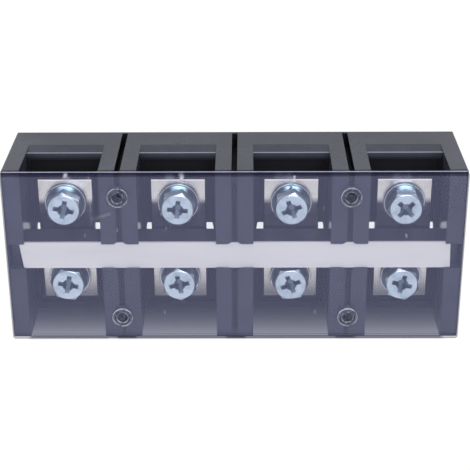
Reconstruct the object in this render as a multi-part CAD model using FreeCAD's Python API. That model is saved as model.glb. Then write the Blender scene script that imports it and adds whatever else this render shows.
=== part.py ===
import FreeCAD, Part
import math
import os

# Four-pole power barrier terminal block with a clear flat cover.
# All sizes are in millimetres. The origin is the centre of the mounting face.
# +X runs along the row of poles, +Y across the wire entries, +Z towards the cover.
# Side a of a pole is its +Y wire entry, side b its -Y wire entry.

Vector = FreeCAD.Vector

# Housing
poles = 4
pole_pitch = 46.3
cell_width = 31.2
end_wall = 7.15
body_depth = 74.2
barrier_height = 44.0
outer_radius = 0.5
floor_height = 21.0
lead_in_height = 14.5
lead_in_setback = 1.1
entry_lip = 3.2

# Recessed bar seat in each cell, with the window under the middle of the bar
seat_recess_width = 28.4
seat_recess_depth = 1.5
pedestal_width = 21.6
pedestal_inner = 9.0
window_radius = 14.2
window_width = 8.1
underside_channel_width = 15.8
underside_channel_height = 17.0
underside_end_wall = 3.6

# Slots in both entry faces between the poles, and the shallow groove over the front
slot_width = 2.3
slot_depth = 5.1
slot_back_web = 1.2
front_groove_depth = 1.2
slot_corner_radius = 2.0

# Mounting holes in the first and last slot, deep under the cover pins
hole_spacing_y = 53.6
mounting_hole = 4.6
mounting_floor = 12.0
screw_head_hole = 7.2

# Channel for the marking strip, and the beam that carries it across each cell
channel_width = 10.9
channel_depth = 6.8
channel_lip = 1.0
channel_undercut = 0.5
channel_end_skin = 0.8
beam_bar_gap = 1.4
beam_strip_gap = 0.6
beam_side_gap = 0.15
beam_edge = 0.3

# Marking strip, cut by hand a little askew
strip_thickness = 1.0
strip_edge_gap = 0.25
strip_face_gap = 0.2
strip_left_end = -87.3
strip_left_slant = 1.4
strip_right_end = 87.1
strip_right_slant = 0.4

# Terminal bars
bar_width = 22.7
bar_length = 53.4
bar_thickness = 4.0
bar_underside = 23.4
bar_hole = 9.0
bar_corner = 0.4
screw_spacing_y = 34.0

# Hex-head screws with a cross recess
thread_diameter = 8.0
screw_length = 20.0
tip_chamfer = 0.9
head_flats = 13.0
head_height = 5.3
head_top_circle = 12.5
head_chamfer_angle = 30.0
recess_span = 8.6
recess_arm = 1.95
recess_depth = 3.2
recess_taper = 0.3
recess_core_top = 5.0
recess_core_bottom = 2.2

# Washers
flat_washer_diameter = 16.5
flat_washer_thickness = 1.6
spring_washer_diameter = 14.0
spring_washer_thickness = 2.0
spring_washer_split = 1.1
spring_washer_slant = 22.0
washer_bore_gap = 0.1

# Nuts captured under the bars
nut_flats = 13.0
nut_height = 6.5
nut_pocket_gap = 0.15
pocket_turn = 30.0
thread_gap = 0.06
bore_gap = 0.7
bore_extra_depth = 1.5

# Clear cover and its push-in pins
cover_thickness = 1.8
cover_seat_gap = 0.05
cover_overhang_x = 0.1
cover_overhang_y = 0.05
cover_corner = 1.2
cover_edge = 0.25
gate_notch_x = -50.5
gate_notch_width = 4.6
gate_notch_depth = 0.4
pin_gap = 0.1
pin_flange = 8.2
pin_flange_height = 1.2
pin_flange_bevel = 0.35
pin_seat_gap = 0.03
pin_length = 10.5
pin_bore = 4.6
pin_split = 1.0
pin_split_height = 6.0
pin_toe = 0.6

# How each screw happens to be turned: hexagon, recess and washer split, degrees
screw_turns = {
    "1a": (0.0, -12.0, 130.0),
    "2a": (-15.0, -5.0, 250.0),
    "3a": (-8.0, 22.0, 93.0),
    "4a": (30.0, 45.0, 200.0),
    "1b": (20.0, -11.0, 40.0),
    "2b": (5.0, 12.0, 300.0),
    "3b": (-25.0, 21.0, 160.0),
    "4b": (12.0, -15.0, 75.0),
}

# Sizes worked out from those above
row_length = (poles - 1) * pole_pitch
body_length = row_length + cell_width + 2 * end_wall
half_x = body_length / 2
half_y = body_depth / 2
margin = 2.0
pole_centres = [(i - (poles - 1) / 2) * pole_pitch for i in range(poles)]
slot_centres = [(i - (poles - 2) / 2) * pole_pitch for i in range(poles - 1)]
pin_slots = [slot_centres[0], slot_centres[-1]]
pin_places = [(x, side * hole_spacing_y / 2) for x in pin_slots for side in (1, -1)]
sides = {"a": 1, "b": -1}
seat_floor = floor_height - seat_recess_depth
bar_top = bar_underside + bar_thickness
flat_washer_top = bar_top + flat_washer_thickness
head_underside = flat_washer_top + spring_washer_thickness
screw_tip = head_underside - screw_length
shank_radius = thread_diameter / 2
cover_bottom = barrier_height + cover_seat_gap
cover_top = cover_bottom + cover_thickness
strip_top = barrier_height - channel_lip - strip_face_gap
strip_bottom = strip_top - strip_thickness
strip_width = channel_width + 2 * channel_undercut - 2 * strip_edge_gap


# Plain solids and outlines


def block(x0, x1, y0, y1, z0, z1):
    return Part.makeBox(x1 - x0, y1 - y0, z1 - z0, Vector(x0, y0, z0))


def rod(x, y, z0, z1, radius):
    return Part.makeCylinder(radius, z1 - z0, Vector(x, y, z0))


def outline(points):
    return Part.makePolygon(points + [points[0]])


def prism(points, direction):
    return Part.Face(outline(points)).extrude(direction)


def hexagon_prism(x, y, z0, z1, flats, turn=0.0):
    corner = flats / 2 / math.cos(math.radians(30))
    angles = [math.radians(90 + turn + 60 * i) for i in range(6)]
    points = [Vector(x + corner * math.cos(a), y + corner * math.sin(a), z0) for a in angles]
    return prism(points, Vector(0, 0, z1 - z0))


def turned(profile, x, y):
    # The profile is a list of (radius, height) points, turned about a vertical axis.
    points = [Vector(x + r, y, z) for r, z in profile]
    face = Part.Face(outline(points))
    return face.revolve(Vector(x, y, 0), Vector(0, 0, 1), 360)


def round_edges(solid, radius, chosen):
    return solid.makeFillet(radius, [e for e in solid.Edges if chosen(e)])


def bevel_edges(solid, size, chosen):
    return solid.makeChamfer(size, [e for e in solid.Edges if chosen(e)])


def is_vertical(edge):
    return edge.BoundBox.ZLength > edge.BoundBox.XLength + edge.BoundBox.YLength


def lies_at(edge, z):
    return abs(edge.BoundBox.ZMin - z) < 1e-4 and abs(edge.BoundBox.ZMax - z) < 1e-4


# Housing


def housing_blank():
    blank = block(-half_x, half_x, -half_y, half_y, 0, barrier_height)
    return round_edges(
        blank, outer_radius, lambda e: is_vertical(e) or lies_at(e, barrier_height)
    )


def cell_cut(x):
    # The open cell, the sloped lead-in at both entries and the shallow seat recess.
    cell = block(
        x - cell_width / 2, x + cell_width / 2,
        -half_y - margin, half_y + margin,
        floor_height, barrier_height + margin,
    )
    cuts = [cell]
    for side in (1, -1):
        slope = [
            Vector(x - cell_width / 2, side * half_y, lead_in_height),
            Vector(x - cell_width / 2, side * (half_y + margin), lead_in_height),
            Vector(x - cell_width / 2, side * (half_y + margin), floor_height + margin),
            Vector(x - cell_width / 2, side * (half_y - lead_in_setback), floor_height + margin),
            Vector(x - cell_width / 2, side * (half_y - lead_in_setback), floor_height),
        ]
        cuts.append(prism(slope, Vector(cell_width, 0, 0)))
    recess_end = half_y - lead_in_setback - entry_lip
    cuts.append(
        block(
            x - seat_recess_width / 2, x + seat_recess_width / 2,
            -recess_end, recess_end,
            seat_floor, floor_height + margin,
        )
    )
    return cuts


def pedestals(x):
    # Two raised seats carry the bar, one under each screw.
    inner = pedestal_inner
    outer = bar_length / 2 - bar_corner
    return [
        block(
            x - pedestal_width / 2, x + pedestal_width / 2,
            min(side * inner, side * outer), max(side * inner, side * outer),
            seat_floor - margin, bar_underside,
        )
        for side in (1, -1)
    ]


def window_cut(x):
    # A barrel-shaped window under the middle of the bar, open to the underside.
    top = floor_height + margin
    bottom = underside_channel_height - margin
    round_hole = rod(x, 0, bottom, top, window_radius)
    band = block(
        x - cell_width, x + cell_width,
        -window_width / 2, window_width / 2, bottom, top,
    )
    return round_hole.common(band)


def screw_pocket(x, y):
    # The hexagonal nut pocket under the bar and the blind bore for the screw's tip.
    pocket_bottom = bar_underside - nut_height - nut_pocket_gap
    pocket = hexagon_prism(
        x, y, pocket_bottom, bar_underside + margin,
        nut_flats + 2 * nut_pocket_gap, pocket_turn,
    )
    bore = rod(x, y, screw_tip - bore_extra_depth, bar_underside, shank_radius + bore_gap)
    return [pocket, bore]


def slot_cuts(x):
    # A slot in each entry face, closed at the back, and a shallow groove over the front.
    low = x - slot_width / 2
    high = x + slot_width / 2
    groove_floor = barrier_height - front_groove_depth
    top = barrier_height + margin
    cuts = [block(low, high, -half_y - margin, half_y + margin, groove_floor, top)]
    for side in (1, -1):
        face = sorted((side * (half_y - slot_depth), side * (half_y + margin)))
        cuts.append(block(low, high, face[0], face[1], slot_back_web, top))
    # The groove's corners are rounded where it meets the marking channel.
    radius = slot_corner_radius
    for sx in (1, -1):
        for sy in (1, -1):
            cx = x + sx * (slot_width / 2 + radius)
            cy = sy * (channel_width / 2 + radius)
            xs = sorted((x + sx * slot_width / 2, cx))
            ys = sorted((sy * channel_width / 2, cy))
            corner = block(xs[0], xs[1], ys[0], ys[1], groove_floor, top)
            cuts.append(corner.cut(rod(cx, cy, groove_floor - margin, top + margin, radius)))
    return cuts


def channel_cuts():
    # The channel stops a thin skin short of both ends of the housing.
    half = channel_width / 2
    end = half_x - channel_end_skin
    open_channel = block(
        -end, end, -half, half,
        barrier_height - channel_depth, barrier_height + margin,
    )
    side_grooves = block(
        -end, end, -half - channel_undercut, half + channel_undercut,
        strip_bottom, barrier_height - channel_lip,
    )
    return [open_channel, side_grooves]


def strip_beam(x):
    # The beam between two barriers, over the bar and under the marking strip.
    reach = cell_width / 2
    half = channel_width / 2 - beam_side_gap
    top = strip_bottom - beam_strip_gap
    beam = block(x - reach, x + reach, -half, half, bar_top + beam_bar_gap, top)
    return bevel_edges(beam, beam_edge, lambda e: lies_at(e, top) and e.BoundBox.XLength > half)


def underside_channel():
    end = half_x - underside_end_wall
    half = underside_channel_width / 2
    return block(-end, end, -half, half, -margin, underside_channel_height)


def hole_cuts(x, y):
    floor_hole = rod(x, y, -margin, mounting_floor + margin, mounting_hole / 2)
    head_hole = rod(x, y, mounting_floor, barrier_height + margin, screw_head_hole / 2)
    return [floor_hole, head_hole]


def make_housing():
    body = housing_blank()
    cuts = []
    for x in pole_centres:
        cuts += cell_cut(x)
    body = body.cut(cuts)
    seats = []
    for x in pole_centres:
        seats += pedestals(x)
    body = body.fuse(seats).removeSplitter()
    cuts = channel_cuts() + [underside_channel()]
    for x in pole_centres:
        cuts.append(window_cut(x))
        for side in sides.values():
            cuts += screw_pocket(x, side * screw_spacing_y / 2)
    for x in slot_centres:
        cuts += slot_cuts(x)
    for x, y in pin_places:
        cuts += hole_cuts(x, y)
    beams = [strip_beam(x) for x in pole_centres]
    return body.cut(cuts).fuse(beams).removeSplitter()


# Terminal bars


def make_bar(x):
    bar = block(
        x - bar_width / 2, x + bar_width / 2,
        -bar_length / 2, bar_length / 2, bar_underside, bar_top,
    )
    bar = bevel_edges(bar, bar_corner, lambda e: is_vertical(e) or lies_at(e, bar_top))
    holes = [
        rod(x, side * screw_spacing_y / 2, bar_underside - margin, bar_top + margin, bar_hole / 2)
        for side in sides.values()
    ]
    return bar.cut(holes)


# Nuts, washers and screws


def chamfered_hexagon(x, y, z0, z1, flats, circle, angle, turn):
    # A hexagon whose corners are taken off by a cone that meets the top at the circle.
    corner = flats / 2 / math.cos(math.radians(30)) + margin
    drop = (corner - circle / 2) * math.tan(math.radians(angle))
    profile = [(0, z0), (corner, z0), (corner, z1 - drop), (circle / 2, z1), (0, z1)]
    blank = hexagon_prism(x, y, z0, z1, flats, turn)
    return blank.common(turned(profile, x, y))


def make_nut(x, y):
    # A plain pressed nut, its flats along the pocket's.
    top = bar_underside
    bottom = top - nut_height
    nut = hexagon_prism(x, y, bottom, top, nut_flats, pocket_turn)
    return nut.cut(rod(x, y, bottom - margin, top + margin, shank_radius + thread_gap))


def make_flat_washer(x, y):
    ring = rod(x, y, bar_top, flat_washer_top, flat_washer_diameter / 2)
    bore = rod(x, y, bar_top - margin, flat_washer_top + margin, shank_radius + washer_bore_gap)
    return ring.cut(bore)


def make_spring_washer(x, y, split_turn):
    # A ring with a slanted split, drawn up flat by its screw.
    ring = rod(x, y, flat_washer_top, head_underside, spring_washer_diameter / 2)
    bore = rod(
        x, y, flat_washer_top - margin, head_underside + margin, shank_radius + washer_bore_gap
    )
    lean = spring_washer_thickness * math.tan(math.radians(spring_washer_slant)) / 2
    half = spring_washer_split / 2
    split = prism(
        [
            Vector(x, y - half - lean, flat_washer_top),
            Vector(x, y + half - lean, flat_washer_top),
            Vector(x, y + half + lean, head_underside),
            Vector(x, y - half + lean, head_underside),
        ],
        Vector(spring_washer_diameter, 0, 0),
    )
    split.rotate(Vector(x, y, 0), Vector(0, 0, 1), split_turn)
    return ring.cut([bore, split])


def recess_arm_cut(x, y, top, turn):
    # One tapered slot of the cross, a little above the face so that it cuts clean.
    lift = margin / 4
    slope = (recess_span / 2 - recess_core_bottom / 2) / recess_depth
    levels = [(top + lift, lift), (top - recess_depth, -recess_depth)]
    wires = []
    for z, rise in levels:
        length = recess_span / 2 + slope * rise
        width = recess_arm / 2 + recess_taper / 2 * rise / recess_depth
        wires.append(
            outline(
                [
                    Vector(x - width, y - length, z),
                    Vector(x + width, y - length, z),
                    Vector(x + width, y + length, z),
                    Vector(x - width, y + length, z),
                ]
            )
        )
    arm = Part.makeLoft(wires, True)
    arm.rotate(Vector(x, y, 0), Vector(0, 0, 1), turn)
    return arm


def make_screw(x, y, head_turn, recess_turn):
    top = head_underside + head_height
    head = chamfered_hexagon(
        x, y, head_underside, top, head_flats, head_top_circle,
        head_chamfer_angle, head_turn,
    )
    shank = turned(
        [
            (0, screw_tip),
            (shank_radius - tip_chamfer, screw_tip),
            (shank_radius, screw_tip + tip_chamfer),
            (shank_radius, head_underside + margin),
            (0, head_underside + margin),
        ],
        x, y,
    )
    core = Part.makeCone(
        recess_core_bottom / 2, recess_core_top / 2, recess_depth,
        Vector(x, y, top - recess_depth),
    )
    arms = [recess_arm_cut(x, y, top, recess_turn + 90 * i) for i in range(2)]
    return head.fuse(shank).cut(arms + [core]).removeSplitter()


# Marking strip


def make_strip():
    half = strip_width / 2
    corners = [
        Vector(strip_left_end, half, strip_bottom),
        Vector(strip_left_end + strip_left_slant, -half, strip_bottom),
        Vector(strip_right_end + strip_right_slant, -half, strip_bottom),
        Vector(strip_right_end, half, strip_bottom),
    ]
    return prism(corners, Vector(0, 0, strip_thickness))


# Cover and its pins


def make_cover():
    reach_x = half_x + cover_overhang_x
    reach_y = half_y + cover_overhang_y
    sheet = block(-reach_x, reach_x, -reach_y, reach_y, cover_bottom, cover_top)
    sheet = round_edges(sheet, cover_corner, is_vertical)
    sheet = bevel_edges(sheet, cover_edge, lambda e: lies_at(e, cover_top))
    low = cover_bottom - margin
    high = cover_top + margin
    cuts = [rod(x, y, low, high, screw_head_hole / 2) for x, y in pin_places]
    cuts.append(
        block(
            gate_notch_x - gate_notch_width / 2, gate_notch_x + gate_notch_width / 2,
            -reach_y - margin, -reach_y + gate_notch_depth, low, high,
        )
    )
    return sheet.cut(cuts)


def make_pin(x, y):
    # A hollow clear pin: rounded flange on the cover, split sleeve in the housing's hole.
    sleeve = screw_head_hole / 2 - pin_gap
    bottom = cover_top - pin_length
    seat = cover_top + pin_seat_gap
    top = seat + pin_flange_height
    pin = turned(
        [
            (pin_bore / 2, bottom),
            (sleeve - pin_toe, bottom),
            (sleeve, bottom + 2 * pin_toe),
            (sleeve, seat),
            (pin_flange / 2, seat),
            (pin_flange / 2, top - pin_flange_bevel),
            (pin_flange / 2 - pin_flange_bevel, top),
            (pin_bore / 2 + pin_flange_bevel, top),
            (pin_bore / 2, top - pin_flange_bevel),
        ],
        x, y,
    )
    splits = [
        block(
            x - length, x + length, y - width, y + width,
            bottom - margin, bottom + pin_split_height,
        )
        for length, width in (
            (pin_flange, pin_split / 2),
            (pin_split / 2, pin_flange),
        )
    ]
    return pin.cut(splits)


# Every piece by its name


def make_pieces():
    pieces = {"base_housing": make_housing()}
    for i, x in enumerate(pole_centres, 1):
        pieces["terminal_bar_%d" % i] = make_bar(x)
        for letter, side in sides.items():
            y = side * screw_spacing_y / 2
            place = "%d%s" % (i, letter)
            turns = screw_turns.get(place, (0.0, 0.0, 0.0))
            pieces["hex_nut_" + place] = make_nut(x, y)
            pieces["flat_washer_" + place] = make_flat_washer(x, y)
            pieces["spring_washer_" + place] = make_spring_washer(x, y, turns[2])
            pieces["terminal_screw_" + place] = make_screw(x, y, turns[0], turns[1])
    pieces["marking_strip"] = make_strip()
    pieces["clear_cover"] = make_cover()
    for i, (x, y) in enumerate(pin_places, 1):
        pieces["cover_pin_%d" % i] = make_pin(x, y)
    return pieces


os.makedirs("parts", exist_ok=True)
for name, shape in make_pieces().items():
    shape.exportStep("parts/%s.step" % name)
    print(name, len(shape.Solids), round(shape.Volume, 1), shape.isValid())
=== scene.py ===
import bpy
import math
import numpy as np
from mathutils import Matrix, Vector


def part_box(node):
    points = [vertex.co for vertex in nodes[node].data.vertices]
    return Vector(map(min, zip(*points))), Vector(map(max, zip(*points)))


# Four-pole power barrier terminal block with a clear cover, in metres.
# +X along the poles, +Y across the wire entries, +Z from the mounting face to the cover.

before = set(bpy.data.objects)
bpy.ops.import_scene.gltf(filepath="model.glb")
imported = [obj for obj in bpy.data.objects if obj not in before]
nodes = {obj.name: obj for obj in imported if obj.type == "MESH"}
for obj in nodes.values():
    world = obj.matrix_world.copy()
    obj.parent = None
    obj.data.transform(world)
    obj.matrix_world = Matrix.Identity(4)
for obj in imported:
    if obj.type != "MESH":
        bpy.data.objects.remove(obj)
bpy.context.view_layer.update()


def middle(box):
    # the point halfway between a box's two corners
    return (box[0] + box[1]) / 2


# Sizes and places read from the frame
halfX, halfY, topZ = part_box("base_housing")[1]
coverLow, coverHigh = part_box("clear_cover")
poleX = [middle(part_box("terminal_bar_%d" % i)).x for i in (1, 2, 3, 4)]
polePitch = poleX[1] - poleX[0]
screwY = middle(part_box("terminal_screw_1a")).y
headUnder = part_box("spring_washer_1a")[1].z
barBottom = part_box("terminal_bar_1")[0].z
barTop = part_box("terminal_bar_1")[1].z
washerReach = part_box("flat_washer_1a")[1].x - poleX[0]
pinPlaces = [tuple(middle(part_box("cover_pin_%d" % i)))[:2] for i in (1, 2, 3, 4)]
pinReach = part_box("cover_pin_1")[1].x - pinPlaces[0][0]
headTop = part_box("terminal_screw_1a")[1].z


# Shader building: a socket that does sums, and the trees of nodes that it belongs to

class Socket:
    # An output of a shader node. Sums with it add Math nodes to its tree.
    def __init__(self, wiring, out):
        self.wiring = wiring
        self.out = out

    def sums(self, operation, first, second=0.0):
        return self.wiring.node("Math", {"operation": operation}, {0: first, 1: second})

    def __add__(self, other):
        return self.sums("ADD", self, other)

    def __radd__(self, other):
        return self.sums("ADD", other, self)

    def __sub__(self, other):
        return self.sums("SUBTRACT", self, other)

    def __rsub__(self, other):
        return self.sums("SUBTRACT", other, self)

    def __mul__(self, other):
        return self.sums("MULTIPLY", self, other)

    def __rmul__(self, other):
        return self.sums("MULTIPLY", other, self)

    def __truediv__(self, other):
        return self.sums("DIVIDE", self, other)

    def __rtruediv__(self, other):
        return self.sums("DIVIDE", other, self)

    def __pow__(self, other):
        return self.sums("POWER", self, other)

    def __rpow__(self, other):
        return self.sums("POWER", other, self)

    def __gt__(self, other):
        return self.sums("GREATER_THAN", self, other)

    def __lt__(self, other):
        return self.sums("LESS_THAN", self, other)

    def __neg__(self):
        return self.sums("MULTIPLY", self, -1.0)

    def __abs__(self):
        return self.sums("ABSOLUTE", self)

    def fraction(self):
        return self.sums("FRACT", self)

    def root(self):
        return self.sums("SQRT", self)

    def sine(self):
        return self.sums("SINE", self)

    def most(self, other):
        return self.sums("MAXIMUM", self, other)

    def least(self, other):
        return self.sums("MINIMUM", self, other)

    def angleTo(self, other):
        return self.sums("ARCTAN2", self, other)

    def ramp(self, low, high):
        # 0 below low, 1 above high, smooth between; the other way round if low is above high
        flip = low > high
        return self.wiring.node(
            "MapRange", {"interpolation_type": "SMOOTHSTEP"},
            {"Value": self, "From Min": min(low, high), "From Max": max(low, high),
             "To Min": 1.0 if flip else 0.0, "To Max": 0.0 if flip else 1.0},
        )


class Wiring:
    # The nodes of a material or a world. node() makes any node: type, settings, sockets, output.
    def __init__(self, owner):
        owner.use_nodes = True
        self.tree = owner.node_tree
        self.tree.nodes.clear()

    def node(self, kind, settings, sockets, output=0):
        made = self.tree.nodes.new("ShaderNode" + kind)
        for key, value in settings.items():
            setattr(made, key, value)
        for key, value in sockets.items():
            if isinstance(value, Socket):
                self.tree.links.new(value.out, made.inputs[key])
            else:
                made.inputs[key].default_value = value
        return Socket(self, made.outputs[output]) if made.outputs else None

    def seenBy(self, *kinds):
        # 1 for the kinds of ray named, 0 for the rest
        found, *others = (self.node("LightPath", {}, {}, "Is %s Ray" % kind) for kind in kinds)
        for other in others:
            found = found.most(other)
        return found


class Sheet(Wiring):
    # One material, whose patterns are worked out from Object coordinates
    def __init__(self, name):
        self.material = bpy.data.materials.new(name)
        super().__init__(self.material)
        self.place = self.node("TexCoord", {}, {}, "Object")
        self.x, self.y, self.z = (
            self.node("SeparateXYZ", {}, {"Vector": self.place}, axis) for axis in "XYZ"
        )

    def noise(self, scale, detail=3.0, rough=0.55, place=None):
        return self.node(
            "TexNoise", {},
            {"Vector": place or self.place, "Scale": scale, "Detail": detail, "Roughness": rough},
        )

    def patches(self, scale, detail, low, high):
        # soft patches: 0 where the noise is below low, 1 where it is above high
        return self.noise(scale, detail).ramp(low, high)

    def streaks(self, fineness, detail=3.0, rough=0.5, turn=(0.0, 0.0, 0.0)):
        # noise with its own fineness along each axis, drawn out along the coarse ones
        place = self.node(
            "Mapping", {}, {"Vector": self.place, "Scale": fineness, "Rotation": turn}
        )
        return self.noise(1.0, detail, rough, place)

    def dots(self, scale, outer, inner):
        # one round dot in each cell: 1 within inner, 0 beyond outer, both as shares of a cell
        away = self.node("TexVoronoi", {}, {"Vector": self.place, "Scale": scale}, "Distance")
        return away.ramp(outer, inner)

    def blend(self, share, first, second):
        # colour from first to second as share goes from 0 to 1
        return self.node("Mix", {"data_type": "RGBA"}, {0: share, 6: first, 7: second}, 2)

    def bump(self, height, depth, under=None):
        # relief of one depth, laid over the relief under it
        sockets = {"Height": height, "Distance": depth, "Strength": 1.0}
        if under is not None:
            sockets["Normal"] = under
        return self.node("Bump", {}, sockets)

    def skin(self, sockets):
        return self.node("BsdfPrincipled", {}, sockets)

    def mixed(self, share, first, second):
        # surface from first to second as share goes from 0 to 1
        return self.node("MixShader", {}, {0: share, 1: first, 2: second})

    def done(self, surface):
        self.node("OutputMaterial", {}, {"Surface": surface})
        return self.material


# Distances and marks, worked out from Object coordinates

def distance(offX, offY):
    # length of a step along X and Y
    return (offX * offX + offY * offY).root()


def between(value, low, high):
    # 1 from low to high, 0 outside
    return (value > low) * (value < high)


def offBarrier(sheet, pitch):
    # distance along X from the middle of the nearest barrier
    return abs((sheet.x / pitch + 0.5).fraction() - 0.5) * pitch


def offPin(sheet):
    # distance from the axis of the nearest pin
    nearest = 1.0
    for x, y in pinPlaces:
        nearest = distance(sheet.x - x, sheet.y - y).least(nearest)
    return nearest


def offScrew(sheet):
    # steps along X and Y from the axis of the nearest screw
    offX = (sheet.x / polePitch).fraction() * polePitch - polePitch / 2
    offY = sheet.y - ((sheet.y > 0.0) * 2.0 - 1.0) * screwY
    return offX, offY


def spot(sheet, x, y, size):
    # 1 in the middle of a round speck, 0 beyond its size
    core = size * 0.3
    return distance(sheet.x - x, sheet.y - y).ramp(size, core)


def scratch(sheet, start, end, width):
    # 1 along a straight line from start to end, 0 a width away from it
    alongX, alongY = end[0] - start[0], end[1] - start[1]
    offX, offY = sheet.x - start[0], sheet.y - start[1]
    share = ((offX * alongX + offY * alongY) / (alongX ** 2 + alongY ** 2)).most(0.0).least(1.0)
    core = width * 0.2
    return distance(offX - share * alongX, offY - share * alongY).ramp(width, core)


# Black moulded housing

housingLook = {
    "deep": (0.037, 0.041, 0.061, 1.0),
    "worn": (0.048, 0.052, 0.075, 1.0),
    "cloudScale": 70.0,
    "wornLevels": (0.35, 0.65),
    "sheen": (0.80, 0.85, 1.0, 1.0),
    "ior": 1.47,
    "roughness": 0.15,
    "cloudRough": 0.10,
    "dustRough": 0.10,
    "rubRough": 0.08,
    "waveScale": 95.0,
    "waveDepth": 2e-5,
    "grainScale": 900.0,
    "grainDepth": 1e-6,
    # outer edges paler in patches: rubbed wear and painted edge highlights
    "rubbedAndLit": (0.13, 0.13, 0.16, 1.0),
    "rubAndLightReach": 0.0007,
    "rubAndLightPatches": (260.0, 5.0, 0.40, 0.72),
    "rubAndLightShare": 0.55,
    # the line of light on the edge of each +Y entry
    "lipEdge": (0.42, 0.43, 0.52, 1.0),
    "lipHeight": 0.021,
    "lipInset": 0.0011,
    "lipDepth": 4e-4,
    "lipLine": 0.00016,
    "lipShare": 0.8,
    # grains of dust and handling streaks
    "dust": (0.18, 0.18, 0.20, 1.0),
    "dustDots": (420.0, 0.11, 0.05),
    "dustPatches": (90.0, 3.0, 0.55, 0.70),
    "dustShare": 0.12,
    "streakFineness": (60.0, 60.0, 900.0),
    "streakLevels": (0.60, 0.78),
    "streakShare": 0.03,
    # light in the holes under the pins, from just over the holes' radius inwards
    "glow": (0.10, 0.11, 0.16, 1.0),
    "glowReach": (0.00390, 0.00365),
    "glowBelow": 0.0013,
    "glowPatches": (700.0, 3.0, 0.30, 0.62),
    # painted shade: near-black matt colour on the floors of the cells and grooves, and in the slots
    "matt": (0.009, 0.009, 0.013, 1.0),
    "mattRoughness": 0.55,
    "mattShine": 0.10,
    "seatBlur": 4e-4,
    "cellFade": (0.0010, 0.0045),
    "cellEnd": 0.0012,
    "grooveDepths": (0.0006, 0.0016),
    "grooveShare": 0.85,
    "slotReach": 0.0013,
    "slotInset": 0.0004,
    "slotFoot": 0.0008,
    "slotShare": 0.8,
    "slotDeepTo": 0.030,
}


def rubbedAndLitEdges(sheet, look):
    # rubbed wear and painted highlight along the edges; an edge is where two of the outer faces are
    # near
    nearX, nearY, nearZ = (
        gap.ramp(look["rubAndLightReach"], 0.0)
        for gap in (halfX - abs(sheet.x), halfY - abs(sheet.y), topZ - sheet.z)
    )
    edge = (nearX * nearY).most(nearX * nearZ).most(nearY * nearZ)
    return edge * sheet.patches(*look["rubAndLightPatches"]) * look["rubAndLightShare"]


def litLips(sheet, look):
    # a thin line at the lip's height, a little way in from the +Y face
    fromEdge = halfY - look["lipInset"] - abs(sheet.y)
    line = abs(sheet.z - look["lipHeight"]) < look["lipDepth"]
    return line * (abs(fromEdge) < look["lipLine"]) * (sheet.y > 0.0) * look["lipShare"]


def pinGlow(sheet, look):
    # the clear pins carry some light down into their holes
    inHole = offPin(sheet).ramp(*look["glowReach"]) * (sheet.z < topZ - look["glowBelow"])
    return inHole * sheet.patches(*look["glowPatches"])


def paintedShadeParts(sheet, look):
    # painted shade where little light reaches: cell floors, grooves and slots
    inward = halfY - abs(sheet.y)
    depth = topZ - sheet.z
    # painted shade on the cell floors, which fades out at the +Y entries and runs almost to the edge
    # of the -Y ones
    below = sheet.z.ramp(barBottom + look["seatBlur"], barBottom)
    cells = below * inward.ramp(*look["cellFade"]).most((sheet.y < 0.0) * (inward > look["cellEnd"]))
    grooves = between(depth, *look["grooveDepths"]) * look["grooveShare"]
    # painted shade in the slots: hardly any light comes back out of them, and less from deep down
    slots = (offBarrier(sheet, polePitch) < look["slotReach"]) * (inward > look["slotInset"])
    slots = slots * (sheet.z > look["slotFoot"]) * (depth > look["slotInset"])
    deep = sheet.z.ramp(topZ, look["slotDeepTo"])
    slots = slots * (look["slotShare"] + (1.0 - look["slotShare"]) * deep)
    return cells.most(grooves).most(slots)


def housingPlastic(look):
    sheet = Sheet("black moulded plastic")
    cloud = sheet.noise(look["cloudScale"], 4.0)
    rubAndLight = rubbedAndLitEdges(sheet, look)
    grains = sheet.dots(*look["dustDots"]) * sheet.patches(*look["dustPatches"])
    streak = sheet.streaks(look["streakFineness"]).ramp(*look["streakLevels"])
    glow = pinGlow(sheet, look)
    colour = sheet.blend(cloud.ramp(*look["wornLevels"]), look["deep"], look["worn"])
    colour = sheet.blend(rubAndLight, colour, look["rubbedAndLit"])
    colour = sheet.blend(litLips(sheet, look), colour, look["lipEdge"])
    dust = grains * look["dustShare"] + streak * look["streakShare"]
    colour = sheet.blend(dust, colour, look["dust"])
    roughness = look["roughness"] + cloud * look["cloudRough"]
    roughness = roughness + grains * look["dustRough"] + rubAndLight * look["rubRough"]
    wave = sheet.bump(sheet.noise(look["waveScale"], 2.0), look["waveDepth"])
    grain = sheet.bump(sheet.noise(look["grainScale"], 1.0), look["grainDepth"], wave)
    shine = sheet.skin(
        {"Base Color": colour, "Roughness": roughness, "Specular Tint": look["sheen"],
         "IOR": look["ior"], "Normal": grain, "Emission Strength": 1.0,
         "Emission Color": sheet.blend(glow, (0.0, 0.0, 0.0, 1.0), look["glow"])}
    )
    # near-black matt skin that carries the painted shade
    matt = sheet.skin(
        {"Base Color": look["matt"], "Roughness": look["mattRoughness"],
         "Specular IOR Level": look["mattShine"], "Normal": grain}
    )
    return sheet.done(sheet.mixed(paintedShadeParts(sheet, look) * (1.0 - glow), shine, matt))


# Plated terminal bars, rolled along Y

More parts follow.
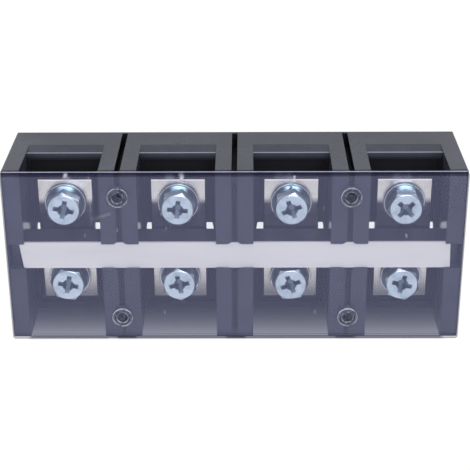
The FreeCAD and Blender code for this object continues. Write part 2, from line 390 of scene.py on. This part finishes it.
barLook = {
    "clean": (0.83, 0.81, 0.80, 1.0),
    "stained": (0.70, 0.665, 0.64, 1.0),
    "stainScale": 150.0,
    "stainLevels": (0.45, 0.80),
    "roughness": 0.13,
    "stainRough": 0.08,
    # rolling lines
    "rollFineness": (2600.0, 40.0, 500.0),
    "rollDepth": 2e-6,
    "rollRough": 0.14,
    # painted dark reflections, and the places along Y between which they fade in
    "dark": (0.035, 0.035, 0.045, 1.0),
    "upperFade": (0.0192, 0.0155),
    "lowerFade": (-0.0105, -0.0285),
    "lowerShare": 0.86,
    "darkDrift": 0.3,
    # painted shadow: a darker ring around each washer, on the top face
    "washerShadow": (0.22, 0.20, 0.20, 1.0),
    "washerShadowReach": (0.0014, -0.0002),
    "washerShadowDepth": 2e-4,
    "washerShadowShare": 0.55,
    # small nicks
    "nickDots": (300.0, 0.07, 0.02),
    "nickDepth": 1.5e-5,
}


def platedBar(look):
    sheet = Sheet("brushed plated bar")
    lines = sheet.streaks(look["rollFineness"], 4.0, 0.6)
    stain = sheet.noise(look["stainScale"], 5.0)
    colour = sheet.blend(stain.ramp(*look["stainLevels"]), look["clean"], look["stained"])
    # painted dark reflection of the black cell, below the +Y screws and towards the -Y end, as in
    # the photo
    upper = sheet.y.ramp(*look["upperFade"]) * (sheet.y > 0.0)
    lower = sheet.y.ramp(*look["lowerFade"]) * look["lowerShare"]
    drift = 1.0 + (lines - 0.5) * look["darkDrift"]
    colour = sheet.blend((upper.most(lower) * drift).least(1.0), colour, look["dark"])
    # painted shadow around each washer on the bar's top face
    beyond = distance(*offScrew(sheet)) - washerReach
    washerShadow = beyond.ramp(*look["washerShadowReach"]) * (sheet.z > barTop - look["washerShadowDepth"])
    colour = sheet.blend(washerShadow * look["washerShadowShare"], colour, look["washerShadow"])
    roughness = look["roughness"] + lines * look["rollRough"] + stain * look["stainRough"]
    rolled = sheet.bump(lines, look["rollDepth"])
    nicked = sheet.bump(sheet.dots(*look["nickDots"]), -look["nickDepth"], rolled)
    return sheet.done(sheet.skin(
        {"Base Color": colour, "Metallic": 1.0, "Roughness": roughness, "Normal": nicked}
    ))


# Zinc plate on the screws, washers and nuts. Depths are below the top of a screw's head.

zincLook = {
    "bright": (0.65, 0.76, 0.90, 1.0),
    "grey": (0.44, 0.54, 0.66, 1.0),
    "cloudScale": 240.0,
    "greyLevels": (0.40, 0.75),
    "roughness": 0.24,
    "cloudRough": 0.12,
    "sideRough": 0.12,
    "grainScale": 1500.0,
    "grainDepth": 6e-6,
    "dentScale": 330.0,
    # turning marks
    "ringPitch": 0.00028,
    "ringRough": 0.03,
    "ringDepth": 2e-6,
    # thread on the shank, with painted shade in its groove
    "threadGrooveShade": (0.20, 0.22, 0.26, 1.0),
    "threadShare": 0.8,
    "threadLevels": (0.45, 0.05),
    "threadPitch": 0.00125,
    "threadRadius": 0.00405,
    "threadBlur": 1e-4,
    "threadDepth": 0.0006,
    "neck": 0.0003,
    # painted shade on the sides, from the head's chamfer down, which are also rougher
    "shaded": (0.17, 0.21, 0.28, 1.0),
    "washerShade": (0.035, 0.068, 0.105, 1.0),
    "sideDepths": (0.0011, 0.0015),
    "sideShare": 0.85,
    # painted shade in the cross recess
    "recess": (0.155, 0.21, 0.265, 1.0),
    "recessReach": (0.0047, 0.0045),
    "recessDepths": (0.0001, 0.0007),
    "recessFloor": 0.0042,
    "recessShare": 0.9,
    # painted shade on the turn of the flat top into the chamfer
    "turnReach": (0.0063, 0.0066),
    "turnShare": 0.35,
    "lineReach": (0.00715, 0.0068),
    "lineShare": 0.4,
    # painted highlight on the rim of the flat washer, inwards of its reach, and painted light on the
    # lock washer
    "rimHighlight": (0.86, 0.90, 0.95, 1.0),
    "rimInset": (0.00030, 0.00012),
    "rimLevels": (0.30, 0.45),
    "washerHeight": 0.0012,
    "arc": (0.72, 0.90, 1.0, 1.0),
    "arcInner": (0.0064, 0.0068),
    "arcOuter": (0.0079, 0.0075),
    "arcStart": (0.85, 1.25),
    "arcEnd": (2.15, 1.75),
    "arcOver": 0.0002,
}


def zincPlate(name, turned, dentDepth, shade, look):
    sheet = Sheet(name)
    offX, offY = offScrew(sheet)
    radius = distance(offX, offY)
    angle = offY.angleTo(offX)
    depth = headTop - sheet.z
    cloud = sheet.noise(look["cloudScale"], 5.0, 0.6)
    colour = sheet.blend(cloud.ramp(*look["greyLevels"]), look["bright"], look["grey"])
    # helical thread: the ridge climbs one pitch in each turn
    shank = radius.ramp(look["threadRadius"] + look["threadBlur"], look["threadRadius"])
    shank = shank * (sheet.z < headUnder - look["neck"])
    ridge = abs((sheet.z / look["threadPitch"] - angle / (2 * math.pi)).fraction() * 2.0 - 1.0)
    # painted shade in the thread's groove
    grooveShade = shank * ridge.ramp(*look["threadLevels"]) * look["threadShare"]
    colour = sheet.blend(grooveShade, colour, look["threadGrooveShade"])
    # painted shade on the sides
    sides = depth.ramp(*look["sideDepths"]) * sheet.z.ramp(barBottom, barTop)
    colour = sheet.blend(sides * look["sideShare"], colour, look[shade])
    # painted shade in the cross recess
    sunk = depth.ramp(*look["recessDepths"]) * (depth < look["recessFloor"])
    sunk = sunk * radius.ramp(*look["recessReach"])
    colour = sheet.blend(sunk * look["recessShare"], colour, look["recess"])
    # painted shade at the turn into the chamfer
    turn = radius.ramp(*look["turnReach"]) * (depth < look["sideDepths"][0])
    line = turn * radius.ramp(*look["lineReach"])
    shadow = turn * look["turnShare"] + line * look["lineShare"]
    colour = sheet.blend(shadow, colour, look["shaded"])
    washers = sheet.z > barTop + look["washerHeight"]
    outer, inner = look["rimInset"]
    # painted highlight on the flat washer's rim
    rimHighlight = radius.ramp(washerReach - outer, washerReach - inner) * washers
    colour = sheet.blend(rimHighlight * cloud.ramp(*look["rimLevels"]), colour, look["rimHighlight"])
    # the lock washer catches the light on its +Y side
    arc = radius.ramp(*look["arcInner"]) * radius.ramp(*look["arcOuter"])
    arc = arc * angle.ramp(*look["arcStart"]) * angle.ramp(*look["arcEnd"])
    arc = arc * washers * (sheet.z < headUnder + look["arcOver"])
    colour = sheet.blend(arc, colour, look["arc"])
    rings = (radius * (2 * math.pi / look["ringPitch"])).sine() * turned
    roughness = look["roughness"] + cloud * look["cloudRough"]
    roughness = roughness + rings * look["ringRough"] + sides * look["sideRough"]
    marks = sheet.bump(rings, look["ringDepth"])
    grain = sheet.bump(sheet.noise(look["grainScale"], 4.0), look["grainDepth"], marks)
    dented = sheet.bump(sheet.noise(look["dentScale"], 2.0), dentDepth, grain)
    thread = sheet.bump(ridge * shank, look["threadDepth"], dented)
    return sheet.done(sheet.skin(
        {"Base Color": colour, "Metallic": 1.0, "Roughness": roughness, "Normal": thread}
    ))


# White marking strip, sheared from sheet

stripLook = {
    "white": (0.885, 0.875, 0.895, 1.0),
    "soiled": (0.82, 0.81, 0.835, 1.0),
    "soilFineness": (18.0, 110.0, 110.0),
    "soilLevels": (0.35, 0.75),
    "speck": (0.45, 0.44, 0.44, 1.0),
    "speckDots": (160.0, 0.045, 0.02),
    "speckPatches": (60.0, 3.0, 0.56, 0.66),
    "speckShare": 0.45,
    "lineFineness": (30.0, 1500.0, 1500.0),
    "lineDepth": 3e-6,
    "roughness": 0.42,
    "soilRough": 0.14,
}


def whiteStrip(look):
    sheet = Sheet("white strip plastic")
    soil = sheet.streaks(look["soilFineness"], 4.0, 0.55)
    colour = sheet.blend(soil.ramp(*look["soilLevels"]), look["white"], look["soiled"])
    specks = sheet.dots(*look["speckDots"]) * sheet.patches(*look["speckPatches"])
    colour = sheet.blend(specks * look["speckShare"], colour, look["speck"])
    roughness = look["roughness"] + soil * look["soilRough"]
    lines = sheet.bump(sheet.streaks(look["lineFineness"]), look["lineDepth"])
    return sheet.done(sheet.skin({"Base Color": colour, "Roughness": roughness, "Normal": lines}))


# Clear cover, faintly smoked: thin tint on its faces, with painted shade and painted light where its
# sawn edges are seen through the top

coverLook = {
    "tint": (0.26, 0.27, 0.52, 1.0),
    "sheen": (0.78, 0.84, 1.0, 1.0),
    "ior": 2.38,
    "faceAlpha": 0.115,
    "roughness": 0.035,
    "smearPatches": (45.0, 4.0, 0.40, 0.80),
    "smearRough": 0.05,
    "rippleScale": 30.0,
    "rippleDepth": 1.2e-5,
    # scratches as start, end and width, specks as x, y and size, and hairlines
    "markAndGlint": (0.75, 0.76, 0.80, 1.0),
    "markAlpha": 0.22,
    "markRough": 0.3,
    "scratches": [((-0.0572, 0.0170), (-0.0537, 0.0180), 0.00022),
                  ((-0.0537, 0.0180), (-0.0497, 0.0194), 0.00028)],
    "scratchShare": 0.8,
    "specks": [(-0.0470, 0.0121, 0.0005), (-0.0274, 0.0129, 0.0005), (-0.0601, 0.0099, 0.0004),
               (-0.0290, 0.0195, 0.0005), (0.0355, 0.0216, 0.0004), (0.0688, 0.0096, 0.0007),
               (-0.0290, -0.0250, 0.0005), (0.0330, -0.0250, 0.0005)],
    "hairFineness": (500.0, 9.0, 9.0),
    "hairTurn": (0.0, 0.0, 0.5),
    "hairLevels": (0.72, 0.80),
    # glints of the plated bars and washers in the +Y edge, as x, y, size and strength
    "glints": [(-0.0664, 0.0360, 0.0014, 1.0), (-0.0661, 0.0346, 0.0022, 0.35),
               (-0.0208, 0.0361, 0.0019, 0.55), (-0.0206, 0.0350, 0.0012, 1.0),
               (-0.0255, 0.0353, 0.0026, 0.25), (0.0237, 0.0349, 0.0009, 1.0),
               (0.0215, 0.0352, 0.0030, 0.22), (0.0178, 0.0358, 0.0030, 0.18),
               (0.0640, 0.0352, 0.0028, 0.20), (0.0680, 0.0352, 0.0028, 0.18)],
    "glintAlpha": 0.65,
    "glintSteady": 0.6,
    "glintPatches": (700.0, 3.0, 0.35, 0.55),
    # the light that the +Y edge catches along its lower half
    "edge": (0.80, 0.80, 0.98, 1.0),
    "edgeAlpha": 0.45,
    "edgeRough": 0.35,
    "edgeDepth": 0.00012,
    "edgeHeights": (0.0011, 0.0008),
    # painted shade: a dark band inside the +Y edge, two lines at the -Y edge and one at each end
    "band": (0.030, 0.030, 0.078, 1.0),
    "bandAlpha": 0.40,
    "bandRough": 0.4,
    "bandWidth": 0.0015,
    "bandDrift": 0.3,
    "bandFineness": (90.0, 90.0, 1.0),
    "sideBand": 0.0006,
    "lowerBand": 0.0007,
    "lowerLine": 0.0013,
    "lineWidth": 0.00018,
}


def coverMarks(sheet, look):
    marks = sheet.streaks(look["hairFineness"], 2.0, 0.5, look["hairTurn"])
    marks = marks.ramp(*look["hairLevels"])
    for start, end, width in look["scratches"]:
        marks = marks.most(scratch(sheet, start, end, width) * look["scratchShare"])
    for x, y, size in look["specks"]:
        marks = marks.most(spot(sheet, x, y, size))
    return marks


def edgeGlints(sheet, look):
    glint = 0.0
    for x, y, size, strength in look["glints"]:
        glint = (spot(sheet, x, y, size) * strength).most(glint)
    steady = look["glintSteady"]
    return glint * (steady + (1.0 - steady) * sheet.patches(*look["glintPatches"]))


def edgeShadeBands(sheet, look):
    # painted shade along the edges; insets are measured from the outer edges of the cover
    insetX = coverHigh.x - abs(sheet.x)
    insetY = coverHigh.y - abs(sheet.y)
    wander = sheet.streaks(look["bandFineness"]) - 0.5
    upper = (insetY < look["bandWidth"] * (1.0 + wander * look["bandDrift"])) * (sheet.y > 0.0)
    line = abs(insetY - look["lowerLine"]) < look["lineWidth"]
    lower = (insetY < look["lowerBand"]).most(line) * (sheet.y < 0.0)
    return upper.most(lower).most(insetX.least(insetY) < look["sideBand"])


def clearSheet(look):
    sheet = Sheet("clear smoked plastic")
    marks = coverMarks(sheet, look)
    glint = edgeGlints(sheet, look)
    high, low = (coverLow.z + height for height in look["edgeHeights"])
    edge = (sheet.y > coverHigh.y - look["edgeDepth"]) * sheet.z.ramp(high, low)
    colour = sheet.blend(edge, look["tint"], look["edge"])
    # pale colour of the marks, also used for the painted glints
    colour = sheet.blend(marks.most(glint), colour, look["markAndGlint"])
    alpha = look["faceAlpha"] + edge * look["edgeAlpha"]
    alpha = (alpha + marks * look["markAlpha"] + glint * look["glintAlpha"]).least(1.0)
    roughness = look["roughness"] + sheet.patches(*look["smearPatches"]) * look["smearRough"]
    roughness = roughness + marks * look["markRough"] + edge * look["edgeRough"]
    ripple = sheet.bump(sheet.noise(look["rippleScale"], 1.0), look["rippleDepth"])
    clear = sheet.skin(
        {"Base Color": colour, "Roughness": roughness, "Alpha": alpha, "IOR": look["ior"],
         "Specular Tint": look["sheen"], "Normal": ripple}
    )
    dark = sheet.skin(
        {"Base Color": look["band"], "Roughness": look["bandRough"], "Alpha": look["bandAlpha"],
         "Specular IOR Level": 0.0}
    )
    # painted shade along the edges, kept off the lit edge and the glints
    band = edgeShadeBands(sheet, look) * (1.0 - edge) * (1.0 - glint)
    return sheet.done(sheet.mixed(band, clear, dark))


# Clear push-in pins: painted highlights as pale rings on the rim, at the step and around the bore

pinLook = {
    "body": (0.14, 0.15, 0.22, 1.0),
    "ior": 1.4,
    "alpha": 0.10,
    "facingAlpha": 0.25,
    "cloudAlpha": 0.10,
    "roughness": 0.10,
    "cloudRough": 0.10,
    "cloudScale": 500.0,
    "rippleDepth": 1e-5,
    "ring": (0.70, 0.74, 0.86, 1.0),
    "ringAlpha": 0.62,
    "upperFainter": 0.2,
    "ringSteady": 0.35,
    "ringLevels": (0.38, 0.55),
    "rimInset": (0.00028, 0.00016),
    "bore": 0.0023,
    "boreRing": (0.00022, 0.00010),
    "stepRing": (0.0009, 0.0011),
    "stepShare": 0.5,
}


def pinHighlightRings(sheet, cloud, look):
    # painted highlight rings on the part of the head that stands over the cover, broken up by the
    # cloud
    radius = offPin(sheet)
    fromBore = radius - look["bore"]
    outer, inner = look["rimInset"]
    rings = radius.ramp(pinReach - outer, pinReach - inner).most(fromBore.ramp(*look["boreRing"]))
    rings = rings.most(between(fromBore, *look["stepRing"]) * look["stepShare"])
    steady = look["ringSteady"]
    broken = steady + (1.0 - steady) * cloud.ramp(*look["ringLevels"])
    return rings * (sheet.z > coverHigh.z) * broken


def clearPin(look):
    sheet = Sheet("clear pin plastic")
    facing = sheet.node("LayerWeight", {}, {"Blend": 0.5}, "Facing")
    cloud = sheet.noise(look["cloudScale"])
    rings = pinHighlightRings(sheet, cloud, look)
    colour = sheet.blend(rings, look["body"], look["ring"])
    alpha = look["alpha"] + rings * (look["ringAlpha"] - look["upperFainter"] * (sheet.y > 0.0))
    alpha = alpha + facing ** 2.0 * look["facingAlpha"] + cloud * look["cloudAlpha"]
    return sheet.done(sheet.skin(
        {"Base Color": colour, "Roughness": look["roughness"] + cloud * look["cloudRough"],
         "Alpha": alpha.least(1.0), "IOR": look["ior"],
         "Normal": sheet.bump(cloud, look["rippleDepth"])}
    ))


# Materials on the CAD nodes. Of the zinc plate each kind of piece has its own: the
# material's name, strength of turning marks, depth of dents and painted shade on its sides.

zincPieces = {
    "terminal_screw": ("zinc plate on screws", 0.3, 2.5e-5, "shaded"),
    "flat_washer": ("zinc plate on flat washers", 1.0, 1.0e-5, "washerShade"),
    "spring_washer": ("zinc plate on lock washers", 0.5, 1.5e-5, "washerShade"),
    "hex_nut": ("zinc plate on nuts", 0.6, 2.0e-5, "shaded"),
}


def dress(prefix, material):
    # CAD nodes keep their shape and get the material
    for name, piece in nodes.items():
        if name.startswith(prefix):
            piece.data.materials.clear()
            piece.data.materials.append(material)


dress("base_housing", housingPlastic(housingLook))
dress("terminal_bar", platedBar(barLook))
for prefix, values in zincPieces.items():
    dress(prefix, zincPlate(*values, zincLook))
dress("marking_strip", whiteStrip(stripLook))
dress("clear_cover", clearSheet(coverLook))
dress("cover_pin", clearPin(pinLook))
print("materials on", len(nodes), "nodes")


# Floor. Its shadow lies on the block's -Y side, and distances are measured towards -Y.

floorLook = {
    "size": 2.4,
    "colour": (0.80, 0.80, 0.81, 1.0),
    "roughness": 0.7,
    # lit floor: how white it is, and how much of that white the camera and mirrored rays see
    "white": 1.05,
    "showsWhite": 0.93,
    "mirrored": 0.12,
    "windowReach": (0.012, 0.010),
    # the shadow is darkest beside the block and grows paler between these two distances
    "shadeFrom": 0.0476,
    "shadeTo": 0.0622,
    "shadeBlur": 0.0016,
    "shadeCurve": 1.6,
    "shadeDark": 0.03,
    "shadePale": 0.34,
    "shadeHue": (0.88, 0.90, 1.0, 1.0),
    "besideBlur": 0.003,
    "underInset": (0.004, 0.006),
    # deeper shadow behind the barriers than behind the open cells, spread outwards
    "barrierSpread": 1.075,
    "barrierReach": (0.0052, 0.0036),
    "barrierShare": 0.85,
}


def floorSheet(look):
    sheet = Sheet("pale floor")
    start, end = look["shadeFrom"], look["shadeTo"]
    away = -sheet.y
    far = ((away - start) / (end - start)).most(0.0).least(1.0)
    pale = look["shadeDark"] + far ** look["shadeCurve"] * (look["shadePale"] - look["shadeDark"])
    behind = offBarrier(sheet, polePitch * look["barrierSpread"]).ramp(*look["barrierReach"])
    pale = pale * (1.0 - behind * look["barrierShare"])
    # the rest of the floor is white, also beneath the block, where the windows show it
    past = away.ramp(end, end + look["shadeBlur"])
    outer, inner = look["underInset"]
    under = away.ramp(halfY - outer, halfY - inner)
    lit = past.most(under).most(abs(sheet.x).ramp(halfX, halfX + look["besideBlur"]))
    white = pale + lit * (look["white"] - pale)
    hue = sheet.blend(lit, look["shadeHue"], (1.0, 1.0, 1.0, 1.0))
    picture = sheet.node("VectorMath", {"operation": "SCALE"}, {"Vector": hue, "Scale": white})
    shown = sheet.node("Emission", {}, {"Color": picture, "Strength": 1.0})
    matt = sheet.skin({"Base Color": look["colour"], "Roughness": look["roughness"]})
    # the camera sees that picture of the floor, and the lamps' own shadows show through a little
    share = sheet.seenBy("Camera", "Transmission") * (1.0 - lit * (1.0 - look["showsWhite"]))
    # mirrored rays see the shadow, the white beneath the windows and little of the rest
    beneath = abs(sheet.y).ramp(*look["windowReach"])
    mirrored = (1.0 - lit).most(beneath).most(look["mirrored"])
    share = share.most(sheet.seenBy("Glossy") * mirrored)
    return sheet.done(sheet.mixed(share, matt, shown))


def floorPlate(look):
    # a level square grid: x and y each run from minus to plus half the size, and z is 0
    count = 3
    line = np.linspace(-0.5, 0.5, count) * look["size"]
    across, along = np.meshgrid(line, line)
    points = np.stack([across.ravel(), along.ravel(), np.zeros(across.size)], 1)
    steps = np.arange(count - 1)
    first = (steps[:, None] * count + steps).ravel()
    faces = np.stack([first, first + 1, first + count + 1, first + count], 1)
    mesh = bpy.data.meshes.new("floor")
    mesh.from_pydata(points.tolist(), [], faces.tolist())
    plate = bpy.data.objects.new("floor", mesh)
    bpy.context.scene.collection.objects.link(plate)
    mesh.materials.append(floorSheet(look))


# Sky and lamps

lightLook = {
    "sky": 0.50,
    "key": {"power": 5.2, "place": (0.10, 0.52, 0.92), "size": 0.55},
    "fill": {"power": 1.6, "place": (-0.75, -0.35, 0.65), "size": 0.8},
}


def sky(level):
    # white where the camera, a mirror or clear plastic looks at it, and softer as a light
    world = bpy.data.worlds.new("studio")
    bpy.context.scene.world = world
    wiring = Wiring(world)
    direct = wiring.seenBy("Camera", "Glossy", "Transmission")
    strength = level + direct * (1.0 - level)
    light = wiring.node("Background", {}, {"Color": (1, 1, 1, 1), "Strength": strength})
    wiring.node("OutputWorld", {}, {"Surface": light})


def lamp(name, look):
    # a square lamp that faces the origin
    data = bpy.data.lights.new(name, "AREA")
    data.shape = "SQUARE"
    data.size = look["size"]
    data.energy = look["power"]
    made = bpy.data.objects.new(name, data)
    made.location = look["place"]
    made.rotation_mode = "QUATERNION"
    made.rotation_quaternion = (-Vector(look["place"])).to_track_quat("-Z", "Y")
    bpy.context.scene.collection.objects.link(made)


# The photo's camera: angles in degrees, and the origin's place as the camera sees it

cameraLook = {
    "focalPixels": 1307.865,
    "frameWidth": 470,
    "sensorWidth": 36.0,
    "pitch": 25.066,
    "yaw": 0.473,
    "roll": -0.310,
    "away": (0.000130, 0.009996, -0.569372),
    "clip": (0.01, 10.0),
}


def photoCamera(look):
    data = bpy.data.cameras.new("photo camera")
    data.sensor_width = look["sensorWidth"]
    data.lens = look["focalPixels"] * look["sensorWidth"] / look["frameWidth"]
    data.clip_start, data.clip_end = look["clip"]
    turn = (
        Matrix.Rotation(math.radians(look["yaw"]), 3, "Y")
        @ Matrix.Rotation(-math.radians(look["pitch"]), 3, "X")
        @ Matrix.Rotation(math.radians(look["roll"]), 3, "Z")
    )
    made = bpy.data.objects.new("photo camera", data)
    made.matrix_world = Matrix.Translation(turn @ -Vector(look["away"])) @ turn.to_4x4()
    bpy.context.scene.collection.objects.link(made)
    bpy.context.scene.camera = made


floorPlate(floorLook)
sky(lightLook["sky"])
for name in ("key", "fill"):
    lamp(name, lightLook[name])
photoCamera(cameraLook)
bpy.context.scene.view_settings.view_transform = "Standard"
print("stage and camera set")
